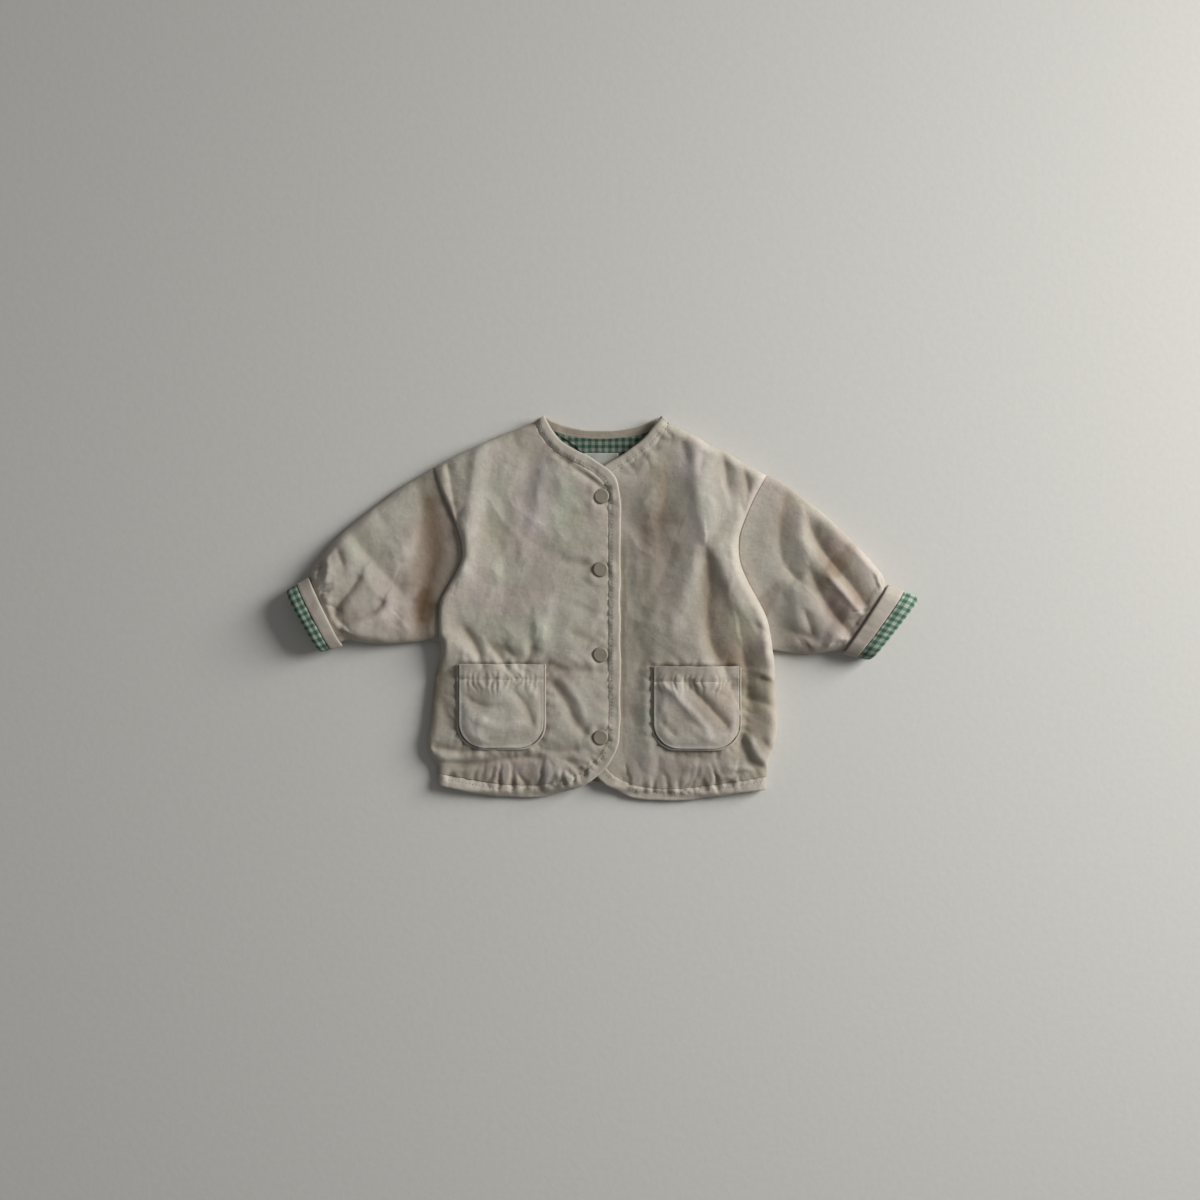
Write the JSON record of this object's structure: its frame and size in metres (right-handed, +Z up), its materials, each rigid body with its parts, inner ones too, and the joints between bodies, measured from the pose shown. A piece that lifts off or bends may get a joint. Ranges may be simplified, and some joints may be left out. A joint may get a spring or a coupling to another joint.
{
  "type": "reversible jacket",
  "caption": "Child's collarless padded jacket laid flat and buttoned, with patch pockets, bound edges and turned-up cuffs that show a checked lining.",
  "frame": {"origin": "centre of the laid-out jacket's bounding box, on the surface it lies on", "axes": "+X to the wearer's left sleeve, +Y to the neck, +Z up from the surface, through back and front"},
  "size_m": [0.5999, 0.3675, 0.0239],
  "materials": {
    "shell_cloth": "washed plain-weave cotton, matt",
    "binding_cloth": "the same cotton cut on the bias, matt",
    "checked_lining": "green and white gingham, matt",
    "snap_cap": "matt moulded plastic",
    "label_tape": "blank woven tape"
  },
  "bodies": {
    "root": {"back": "shell_cloth", "binding_back_hem": "binding_cloth", "binding_back_neck": "binding_cloth", "neck_lining": "checked_lining", "label": "label_tape", "front_right": "shell_cloth", "binding_front_right": "binding_cloth", "sleeve_right": "shell_cloth", "cuff_band_right": "binding_cloth", "cuff_lining_right": "checked_lining", "pocket_right": "shell_cloth", "pocket_band_right": "binding_cloth", "pocket_piping_right": "binding_cloth", "front_left": "shell_cloth", "binding_front_left": "binding_cloth", "sleeve_left": "shell_cloth", "cuff_band_left": "binding_cloth", "cuff_lining_left": "checked_lining", "pocket_left": "shell_cloth", "pocket_band_left": "binding_cloth", "pocket_piping_left": "binding_cloth", "snap_1": "snap_cap", "snap_2": "snap_cap", "snap_3": "snap_cap", "snap_4": "snap_cap"}
  },
  "joints": []
}
